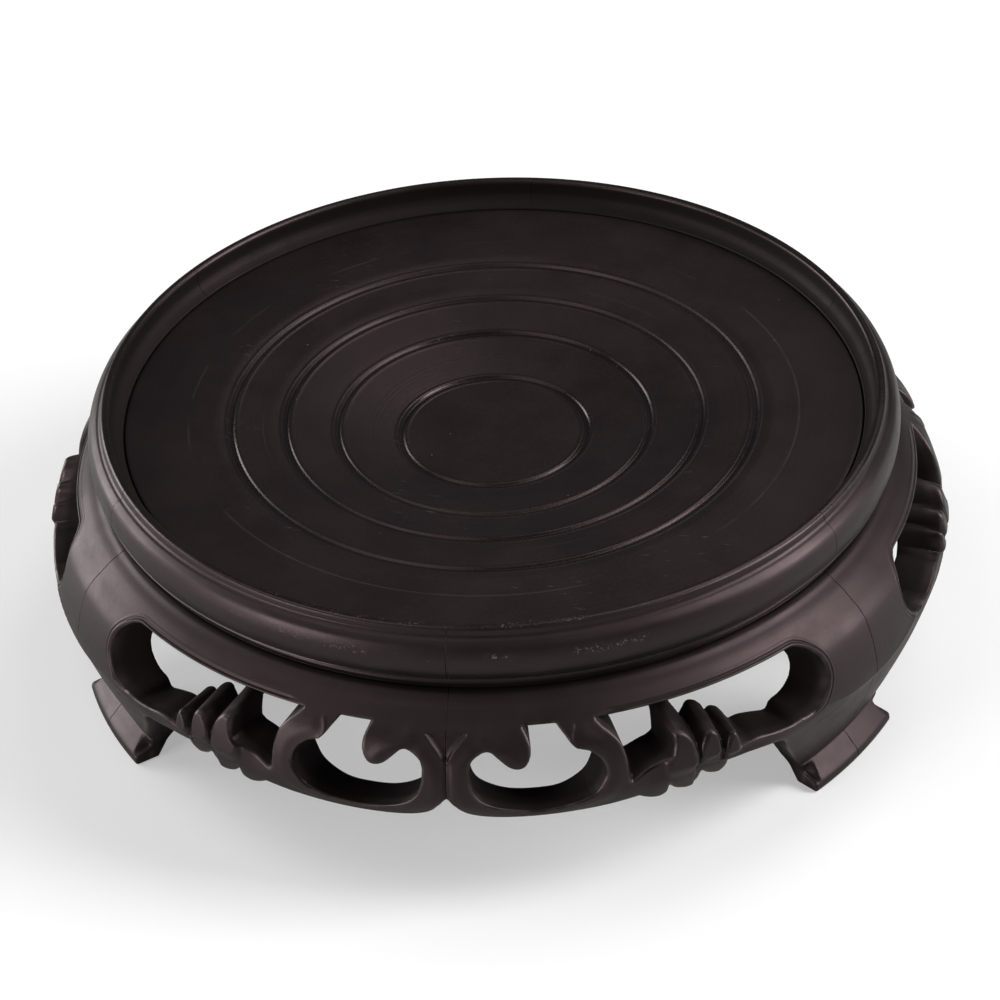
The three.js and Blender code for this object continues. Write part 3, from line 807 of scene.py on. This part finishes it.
round_window = ease(S, 19.6 * DEG, 22 * DEG) * ease(Z + 0.6 * (S / DEG - 47), 33, 40)
round_window *= 1 - ease(S, 37 * DEG, 36 * DEG) * ease(Z, 50, 47)
relief -= 0.12 * round_window * ease(long_edge, 2.4, 0.9)

crease = laid(
    [(46.3, 39), (48, 38.4), (50.6, 36.8), (54.3, 34.8), (56.4, 34.2), (58.6, 33.8), (61, 33.9)], 24
)
relief += 0.5 * crest(line_distance(S, Z, crease), 1.1) * ease(S, 46 * DEG, 50 * DEG)
second = laid([(49.4, 31), (51, 30.9), (53, 31.3), (55, 31.9)], 10)
relief += 0.25 * crest(line_distance(S, Z, second), 0.8) * ease(S, 55.5 * DEG, 52 * DEG)

relief += 0.4 * stroke([(4.6, 53.6), (6.2, 51.8), (7.8, 49.8), (8.6, 48)], 16, 1.8)
relief = np.minimum(averaged(relief, 1), 1.15)
print("relief from", round(float(relief.min()), 2), "to", round(float(relief.max()), 2), "mm")

# %% [markdown]
# ## Cutting the stave out of its ring
#
# The stave is what is inside the section and outside the openings, with every such edge
# rounded. Where the toe stops beside the leg, the section is drawn in to the line of the
# ankle. The stave is cut at both ends on a plane through the axis, where it is glued to
# its neighbours, with only the corner of the joint eased. The dowel holes are bored last:
# two across the middle seam, three across the leg and two in the seat.

# %% The stave as one distance
def wall_middle(z):
    """Radius half way between the outer face and the inner face at a height."""
    inner = np.interp(z, inner_line[:, 1], inner_line[:, 0])
    return float((outer_radius(z) + inner) / 2)


SHOULDER, KNEE, ANKLE, SCROLL = ((wall_middle(z), z) for z in (57.0, 42.0, 19.5, 43.5))
LONG_DOWEL, SHORT_DOWEL, SEAT_DOWEL = (2.5, 16.0), (1.5, 8.0), (2.5, 11.8)  # radius, length
ROOM = 0.3  # of a hole round its dowel
SEAM_DOWELS = [
    (0.0, SHOULDER, LONG_DOWEL),
    (0.0, SCROLL, SHORT_DOWEL),
    (PITCH, SHOULDER, LONG_DOWEL),
    (PITCH, KNEE, LONG_DOWEL),
    (PITCH, ANKLE, LONG_DOWEL),
]
SEAT_ANGLE = math.radians(7)
SEAT_RADIUS, SEAT_HEIGHT = 108.45, 60.9


def seat_hole(r, angle, up):
    """Distance for the hole of a seat dowel, given the angle from it and the height above
    or below its middle."""
    bore = np.hypot(r * np.sin(angle), r * np.cos(angle) - SEAT_RADIUS) - SEAT_DOWEL[0]
    return np.maximum(bore, up - SEAT_DOWEL[1] / 2) - ROOM


def half_gap(wood):
    """Half the gap of a joint: open at the surface, and nearly shut from 1.2 mm below it,
    so that no light shines through. The value is the distance of the uncut wood."""
    return SEAM / 2 - (SEAM - TIGHT) / 2 * ease(-wood, 0.3, 1.2)


def stave_distance(p):
    """Distance for places given as arc length, height and radius. Between the two faces
    the openings are in proportion: front + (back - front) t, with t the depth reached.
    The relief fades out between 2 and 8 mm below the face."""
    s, z, r = p[:, 0], p[:, 1], p[:, 2]
    angle = s / CARVING
    face = outer_radius(z)
    lift = read(relief, drawing_low, FINE, s, z)
    outward = ease(r - face, -8.0, -2.0)
    toe_end = LEG_SIDE * DEG + 1.7 + 0.3 * (z - 4)
    past_end = ease(toe_end - s, -1.0, 1.0) * ease(z, 2.4, 5.2)
    drawn_in = np.maximum(toe_radius(z) - ankle_radius(z), 0) * past_end * ease(r, 115.5, 118)
    section = read(section_table, section_low, FINE, r - lift * outward + drawn_in, z)
    depth = np.clip((face - r) / np.maximum(face - INNER_FACE, 8), -0.2, 1.5)
    front = read(front_table, drawing_low, FINE, s, z)
    back = read(back_table, drawing_low, FINE, s, z)
    wood = meet(section, -(front + (back - front) * depth), WALL_ROUND)
    gap = half_gap(wood)
    wood = meet(wood, gap - r * np.sin(angle), SEAM_ROUND)
    wood = meet(wood, gap - r * np.sin(PITCH - angle), SEAM_ROUND)
    for at, (radius, height), (size, length) in SEAM_DOWELS:
        across = np.abs(r * np.sin(angle - at)) - length / 2
        bore = np.hypot(r * np.cos(angle - at) - radius, z - height) - size
        wood = np.maximum(wood, ROOM - np.maximum(bore, across))
    for at in (SEAT_ANGLE, PITCH - SEAT_ANGLE):
        wood = np.maximum(wood, -seat_hole(r, angle - at, SEAT_HEIGHT - z))
    return wood


def even(low, high, step):
    """Grid lines at one step."""
    return np.arange(low, high + step, step)


def closer_at_seams(step, finest):
    """Grid lines along the arc, closer near the two seams: the step is the finest one
    there and grows by a third of the way gone from the seam."""
    lines, end = [-0.35], PITCH * CARVING
    while lines[-1] < end / 2:
        gone = abs(lines[-1])
        lines.append(lines[-1] + min(step, max(finest, 0.33 * gone)))
    lines = np.array(lines)
    lines = lines[lines < end / 2 - 0.3 * step]
    return np.concatenate([lines, (end - lines)[::-1]])


def on_grid(distance, axes):
    """Values of a distance on a grid, one sheet of the first axis at a time."""
    v, w = (g.ravel() for g in np.meshgrid(axes[1], axes[2], indexing="ij"))
    sheets = [distance(np.stack([np.full_like(v, u), v, w], 1)) for u in axes[0]]
    return np.array(sheets).reshape([len(a) for a in axes])


def build(distance, axes, reach):
    """Surface of a distance in arc length, height and radius, bent round the axis."""
    cells, faces = crossed_cells(on_grid(distance, axes))
    points = np.stack([np.interp(cells[:, k], np.arange(len(a)), a) for k, a in enumerate(axes)], 1)
    points = settle(distance, points, reach)
    grad = slope(distance, points)
    grad /= np.maximum(np.linalg.norm(grad, axis=1, keepdims=True), 1e-9)
    angle, z, r = points[:, 0] / CARVING, points[:, 1], points[:, 2]
    sin, cos = np.sin(angle), np.cos(angle)
    normals = np.stack(
        [grad[:, 0] * cos + grad[:, 2] * sin, grad[:, 0] * sin - grad[:, 2] * cos, grad[:, 1]], 1
    )
    return np.stack([r * sin, -r * cos, z], 1), faces, points[:, :2], normals


QUICK = 1.0
seam_step, stave_step, rim_step = 0.12 * QUICK, 0.55 * QUICK, 0.26 * QUICK
stave_grid = [
    closer_at_seams(stave_step, seam_step),
    even(-1.2, 63, stave_step),
    even(101.9, 133, stave_step),
]
stave = build(stave_distance, stave_grid, 0.3)
tables = (front_table, relief, long_edge, round_window)
to_opening, lift, to_window, near_window = (read(t, drawing_low, FINE, *stave[2].T) for t in tables)
below_ring = outer_radius(stave[2][:, 1]) - np.hypot(*stave[0][:, :2].T)
stave_carries = {
    "depth": np.clip(below_ring, 0, 20),
    "edge": to_window,
    "bead": near_window,
    "arris": np.clip(1 - np.hypot(to_opening, below_ring + lift) / 1.1, 0, 1),
}
print("stave:", len(stave[0]), "points,", len(stave[1]), "faces")

# %% [markdown]
# ## Six staves from one
#
# A maker carves three right-hand and three left-hand staves from one pattern. The
# left-hand one is the mirror image, so its faces are listed the other way round, which
# keeps their outer side outward.

# %% Place the staves
def place_piece(name, form, turn, mirror, material, stands_for, carried={}):
    """Object from a finished form, turned about the axis and mirrored if asked."""
    points, faces, uv, normals = form
    if mirror:
        faces = faces[:, ::-1]
        uv = uv * np.array([-1.0, 1.0])
    uv = uv + np.array([turn * CARVING, 0.0])
    points, normals = about_axis(points, turn, mirror), about_axis(normals, turn, mirror)
    return piece(name, points, faces, material, uv, normals, stands_for, carried)


for k in range(3):
    for side, mirror in (("right", False), ("left", True)):
        name, turn, solids = f"carved_stave_{k + 1}_{side}", 2 * k * PITCH, [f"stave_{k + 1}_{side}"]
        place_piece(name, stave, turn, mirror, stave_lacquer, solids, stave_carries)
print("staves placed, faces each:", made["carved_stave_1_right"])

# %% [markdown]
# ## The rim
#
# The rim is a ring of six arcs. Its section has a thin upright lip, a small hollow, a
# fat roll with a fine bead along its lower edge, and a hollow neck that meets the
# staves. Inside, a groove takes the tongue of the tray. Such a ring is glued up from
# arcs and then turned as one, so the profile runs through the joints without a step.

# %% Rim arcs
rim_section = np.concatenate(
    [
        curve([
            (110, 79.6), (110, 80.9), (110.35, 81.5), (111, 81.7), (112, 81.6), (112.6, 81.1),
            (112.8, 80.2),
        ], 18),
        curve([
            (112.9, 79.5), (113.4, 78.9), (114.4, 78.4), (115.9, 76.8), (116.8, 74.2),
            (116.95, 71.6), (116.6, 69.2), (115.8, 67.3), (115.45, 66.75),
        ], 48),
        curve([
            (115.5, 66.6), (115.62, ROLL_EDGE), (115.5, 66.15), (115, 66.05), (113.4, 65.8),
            (112.1, 64.9), (111.8, 63.4), (112.2, 62.4), (113.2, 61.9),
        ], 36),
        [(113.1, 61.8), (101.5, 61.8), (101.5, 68.2), (109.5, 68.2), (109.5, 71.7)],
        [(106.7, 71.7), (106.7, 73.4)],
        curve([(106.9, 73.8), (107.8, 74.2), (109, 75.1), (109.8, 76.6), (110, 78)], 12),
    ]
)
TONGUE = (14.0, 3.0, 8.0)  # length, thickness and height
TONGUE_RADIUS, TONGUE_HEIGHT = 113.3, 71.5
rim_low = (98.0, 58.0)
rim_r = np.arange(rim_low[0], 120, RIM_FINE)
rim_z = np.arange(rim_low[1], 85, RIM_FINE)
rim_table = signed_distance(*np.meshgrid(rim_r, rim_z, indexing="ij"), rim_section)


def rim_distance(p):
    """Distance for a rim arc: its section, two end planes, slots and dowel holes."""
    s, z, r = p[:, 0], p[:, 1], p[:, 2]
    angle = s / CARVING
    wood = read(rim_table, rim_low, RIM_FINE, r, z)
    gap = half_gap(wood)
    for at in (angle, PITCH - angle):
        wood = meet(wood, gap - r * np.sin(at), RIM_SEAM_ROUND)
        from_tongue = (r * np.sin(at), r * np.cos(at) - TONGUE_RADIUS, z - TONGUE_HEIGHT)
        slot = [np.abs(away) - size / 2 for away, size in zip(from_tongue, TONGUE)]
        wood = np.maximum(wood, ROOM - np.max(slot, axis=0))
        wood = np.maximum(wood, -seat_hole(r, at - SEAT_ANGLE, z - SEAT_HEIGHT))
    return wood


rim_grid = [
    closer_at_seams(2.0 * QUICK, seam_step),
    even(61, 82.6, rim_step),
    even(100.9, 118.2, rim_step),
]
rim_arc = build(rim_distance, rim_grid, 0.15)
print("rim arc:", len(rim_arc[0]), "points,", len(rim_arc[1]), "faces")
for k in range(STAVES):
    name, turn, solids = f"rim_moulding_{k + 1}", k * PITCH, [f"rim_arc_{k + 1}"]
    place_piece(name, rim_arc, turn, False, rim_lacquer, solids)

# %% [markdown]
# ## The tray
#
# The tray is turned: one profile, swept round the axis. The floor steps down toward the
# middle in gentle terraces, and at each step the turner has cut a fine ring. Between
# two rings the floor is a shallow slope.

# %% Tray panel
def floor_height(r):
    """Height of the floor: a line from ring to ring, a soft step up outside each ring,
    and at the ring a groove between two low beads."""
    rise, groove, bead = 0.7, 0.42, 0.18
    radii, heights = [0.0], [RINGS[0][1] - 0.1]
    for radius, level in RINGS:
        radii += [radius - 1.2, radius + 0.9, radius + 4.2]
        heights += [level - 0.05, level, level + rise]
    radii += [100.0, 110.0]
    heights += [0.0, 0.0]
    base = np.interp(r, radii, heights)
    soft = np.mean([np.interp(r + d, radii, heights) for d in np.linspace(-1, 1, 9)], axis=0)
    z = np.where(np.abs(r) < 1, base, soft)
    for radius, _ in RINGS:
        t = np.abs(r - radius)
        z = z - groove * (1 - ease(t, 0.3, 1.05)) + bead * np.exp(-(((t - 1.45) / 0.42) ** 2))
    return FLOOR + z


def turned(profile, segments):
    """Surface of revolution from a profile that starts and ends on the axis."""
    turn = np.arange(segments) * 2 * math.pi / segments
    ring = profile[1:-1]
    x = ring[:, None, 0] * np.sin(turn)
    y = -ring[:, None, 0] * np.cos(turn)
    z = np.repeat(ring[:, None, 1], segments, axis=1)
    body = np.stack([x, y, z], 2).reshape(-1, 3)
    points = np.concatenate([[(0, 0, profile[0, 1])], body, [(0, 0, profile[-1, 1])]])
    i, j = np.meshgrid(np.arange(len(ring) - 1), np.arange(segments), indexing="ij")
    a = 1 + i * segments + j
    b = 1 + i * segments + (j + 1) % segments
    quads = np.stack([a, a + segments, b + segments, b], 2).reshape(-1, 4)
    j = np.arange(segments)
    start = np.stack([0 * j, 1 + j, 1 + (j + 1) % segments], 1)
    last = 1 + (len(ring) - 1) * segments
    end = np.stack([0 * j + len(points) - 1, last + (j + 1) % segments, last + j], 1)
    return points, [*start.tolist(), *quads.tolist(), *end.tolist()]


radii = np.unique(
    np.concatenate(
        [np.arange(0.8, 106, 1.6)] + [np.linspace(r - 2.6, r + 5.4, 40) for r, _ in RINGS]
    )
)
top = np.stack([radii, floor_height(radii)], 1)
edge = curve([(105.8, 73.5), (106.25, 73.35), (106.4, 72.9), (106.4, 71.4)], 8)
under = [
    (109.2, 71.3), (109.2, 68.6), (101.2, 68.5), (101.2, 63), (98.2, 58.7), (97.6, 58.5),
    (0.8, 58.5), (0, 58.5),
]
middle = [(0, float(floor_height(np.array([0.0]))[0]))]
tray_points, tray_faces = turned(np.concatenate([middle, top, edge, under]), 256)
flat = tray_points[:, :2]
piece("turned_tray", tray_points, tray_faces, tray_lacquer, flat, None, ["tray_panel"])
print("tray:", len(tray_points), "points")

# %% [markdown]
# ## The hidden joinery
#
# Nothing of this shows in the finished stand. Loose tongues align the rim arcs, and
# fluted dowels pin the staves to one another and the rim to its seat. The flutes let
# air and spare glue out of the hole. Each dowel has its ends eased so that it starts
# easily.

# %% Dowels and tongues
def rod(rings):
    """Closed skin over rings of points, given one after another, with flat ends."""
    count, sides = rings.shape[:2]
    i, j = (g.ravel() for g in np.meshgrid(np.arange(count - 1), np.arange(sides), indexing="ij"))
    a, b = i * sides + j, i * sides + (j + 1) % sides
    faces = np.stack([a, a + sides, b + sides, b], 1).tolist()
    faces.append(list(range(sides)))
    faces.append(list(range((count - 1) * sides, count * sides))[::-1])
    return rings.reshape(-1, 3), faces


def dowel(radius, length, sides=40):
    """Fluted rod along X: the radius shrinks at the ends and in ten shallow flutes."""
    along = np.array([0, 0.35, 0.9, 1.6, 2.4]) / radius * 1.2
    along = np.concatenate([along, length - along[::-1]])
    ends = np.minimum(along, length - along)
    size = radius * (0.72 + 0.28 * np.sqrt(np.clip(ends / (0.55 * radius), 0, 1)))
    turn = np.arange(sides) * 2 * math.pi / sides
    r = size[:, None] * (1 - 0.05 * np.maximum(np.cos(10 * turn), 0))
    x = np.repeat((along - length / 2)[:, None], sides, axis=1)
    return rod(np.stack([x, r * np.cos(turn), r * np.sin(turn)], 2))


def tongue(length, thickness, height, sides=32):
    """Flat tongue along X with rounded long edges and eased ends. Its section is a circle
    squared up by taking sine and cosine to a small power."""
    turn = (np.arange(sides) + 0.5) * 2 * math.pi / sides
    y, z = (np.sign(w) * np.abs(w) ** 0.35 for w in (np.cos(turn), np.sin(turn)))
    along = np.array([0, 0.25, 0.8, length - 0.8, length - 0.25, length])
    inset = np.array([0.4, 0.14, 0, 0, 0.14, 0.4])[:, None]
    x = np.repeat((along - length / 2)[:, None], sides, axis=1)
    y, z = y * thickness / 2 - np.sign(y) * inset, z * height / 2 - np.sign(z) * inset
    return rod(np.stack([x, y, z], 2))


def hidden(name, node_name, form, angle, radius, height):
    """Joinery piece of bare wood, moved from the origin to its place at a seam."""
    points = about_axis(form[0] + np.array([0, -radius, height]), angle)
    return piece(name, points, form[1], bare_wood, points[:, :2], None, [node_name])


loose = tongue(*TONGUE)
for k in range(STAVES):
    node_name = f"rim_tongue_{k + 1}"
    hidden(f"loose_tongue_{k + 1}", node_name, loose, k * PITCH, TONGUE_RADIUS, TONGUE_HEIGHT)

lying, seat_faces = dowel(*SEAT_DOWEL)
upright = (lying[:, [1, 2, 0]], seat_faces)
for k in range(STAVES):
    for letter, angle in (("a", SEAT_ANGLE), ("b", PITCH - SEAT_ANGLE)):
        node_name = f"seat_dowel_{k + 1}{letter}"
        angle = k * PITCH + angle
        hidden(f"seat_pin_{k + 1}{letter}", node_name, upright, angle, SEAT_RADIUS, SEAT_HEIGHT)

big, small = dowel(*LONG_DOWEL), dowel(*SHORT_DOWEL)
for k in range(3):
    for label, form, at in (("shoulder", big, SHOULDER), ("scroll", small, SCROLL)):
        label = f"panel_{k + 1}_{label}"
        hidden(f"{label}_pin", f"{label}_dowel", form, 2 * k * PITCH, *at)
    for label, at in (("shoulder", SHOULDER), ("knee", KNEE), ("ankle", ANKLE)):
        label = f"leg_{k + 1}_{label}"
        hidden(f"{label}_pin", f"{label}_dowel", big, (2 * k + 1) * PITCH, *at)
print("pieces:", len(made), "faces:", sum(made.values()))

# %% [markdown]
# ## The picture
#
# The stand is shown on a plain pale floor before white, in soft light. A near-black
# satin surface shows only what it reflects, so the lamps are large sheets. Two stand low
# at the left and one at the right, for the shoulders and the roll. Two weaker ones hang
# higher, at the left and behind, for the tray and its rings.

# %% Floor, background and lights
scene = bpy.context.scene

floor_mesh = bpy.data.meshes.new("floor")
FAR, PALE, GLOW = 6.0, 0.66, 0.36  # half its width, its grey, and what the camera sees added
corners = [(-FAR, -FAR, 0), (FAR, -FAR, 0), (FAR, FAR, 0), (-FAR, FAR, 0)]
floor_mesh.from_pydata(corners, [], [(0, 1, 2, 3)])
floor = bpy.data.objects.new("floor", floor_mesh)
scene.collection.objects.link(floor)
floor_material, floor_tree, floor_shader, _ = new_material("floor_paint")
floor_shader.inputs["Base Color"].default_value = (PALE, PALE, PALE, 1)
floor_shader.inputs["Roughness"].default_value = 0.9
floor_shader.inputs["Specular IOR Level"].default_value = 0.1
direct = floor_tree.nodes.new("ShaderNodeLightPath").outputs["Is Camera Ray"]
whiter = combine(floor_tree, "MULTIPLY", direct, GLOW)
floor_shader.inputs["Emission Color"].default_value = (1, 1, 1, 1)
floor_tree.links.new(whiter, floor_shader.inputs["Emission Strength"])
floor_mesh.materials.append(floor_material)
floor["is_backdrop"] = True

world = bpy.data.worlds.new("studio")
scene.world = world
world.use_nodes = True
sky = world.node_tree
sky.nodes.clear()
sky_out = sky.nodes.new("ShaderNodeOutputWorld")
ray = sky.nodes.new("ShaderNodeLightPath").outputs
mirrored = combine(sky, "MAXIMUM", ray["Is Glossy Ray"], ray["Is Transmission Ray"])
MIRRORED, AMBIENT = 0.1, 0.05  # of the white that the camera sees
seen = combine(sky, "MAXIMUM", ray["Is Camera Ray"], combine(sky, "MULTIPLY", mirrored, MIRRORED))
strength = combine(sky, "MAXIMUM", seen, AMBIENT)
room = node(sky, "ShaderNodeBackground", Color=(1, 1, 1, 1), Strength=strength)
sky.links.new(room.outputs["Background"], sky_out.inputs["Surface"])


def soft_light(name, place, target, size, power):
    """Rectangular area light aimed at a place."""
    data = bpy.data.lights.new(name, "AREA")
    data.shape = "RECTANGLE"
    data.size, data.size_y = size
    data.energy = power
    lamp = bpy.data.objects.new(name, data)
    scene.collection.objects.link(lamp)
    lamp.location = place
    lamp.rotation_euler = (Vector(target) - Vector(place)).to_track_quat("-Z", "Y").to_euler()
    lamp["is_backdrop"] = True
    return lamp


def around(azimuth, elevation, distance):
    """Place at an azimuth from -Y toward +X, an elevation and a distance, as seen from
    the middle of the stand."""
    a, e = math.radians(azimuth), math.radians(elevation)
    level = distance * math.cos(e)
    return (level * math.sin(a), -level * math.cos(a), MIDDLE[2] + distance * math.sin(e))


MIDDLE = (0, 0, 0.04)
soft_light("left_sheet", around(-108, 11, 1.5), MIDDLE, (1.05, 0.9), 20.0)
soft_light("left_strip", around(-50, 5, 1.5), MIDDLE, (0.75, 0.95), 18.0)
soft_light("left_top", around(-70, 66, 1.2), (-0.1, 0, 0.02), (0.7, 0.6), 2.3)
soft_light("right_sheet", around(91, 31, 1.5), MIDDLE, (0.6, 1.35), 25.0)
soft_light("back_sheet", around(148, 57, 1.5), MIDDLE, (0.65, 0.7), 4.2)

# %% [markdown]
# ## The camera
#
# The camera stands about 1.2 m away, 35 degrees up, and a little to the right of the
# middle of the front panel, as in the photograph. Its place was found by fitting the
# rings of the tray, which are true circles.

# %% Camera
ELEVATION = 0.614320677
DISTANCE = 1.180659
AZIMUTH = math.radians(7.918)
YAW, PITCH_DOWN, ROLL = 0.000509342317, -0.0224598788, -0.0499301285
FOCAL, FRAME, SENSOR = 4094.38807, 1000.0, 36.0  # two in pixels, and the last in mm


def fitted_camera():
    """World matrix of the camera from the fitted angles."""
    back = np.array([0, -math.cos(ELEVATION), math.sin(ELEVATION)])
    forward = -back
    right = np.array([1.0, 0, 0])
    up = np.cross(right, forward)
    forward2 = math.cos(YAW) * forward + math.sin(YAW) * right
    right2 = math.cos(YAW) * right - math.sin(YAW) * forward
    forward3 = math.cos(PITCH_DOWN) * forward2 + math.sin(PITCH_DOWN) * up
    up3 = math.cos(PITCH_DOWN) * up - math.sin(PITCH_DOWN) * forward2
    right4 = math.cos(ROLL) * right2 + math.sin(ROLL) * up3
    up4 = math.cos(ROLL) * up3 - math.sin(ROLL) * right2
    m = np.eye(4)
    m[:3, 0], m[:3, 1], m[:3, 2] = right4, up4, -forward3
    m[:3, 3] = back * DISTANCE + np.array([0, 0, FLOOR * MM])
    return Matrix.Rotation(AZIMUTH, 4, "Z") @ Matrix(m.tolist())


camera_data = bpy.data.cameras.new("camera")
camera_data.sensor_width = SENSOR
camera_data.lens = FOCAL * SENSOR / FRAME
camera_data.clip_start, camera_data.clip_end = 0.1, 50.0
camera = bpy.data.objects.new("camera", camera_data)
scene.collection.objects.link(camera)
camera.matrix_world = fitted_camera()
scene.camera = camera
camera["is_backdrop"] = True

scene.view_settings.view_transform = "Standard"

# %% Sizes of the finished model
low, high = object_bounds()
print("size in mm:", [round((b - a) / MM, 2) for a, b in zip(low, high)])
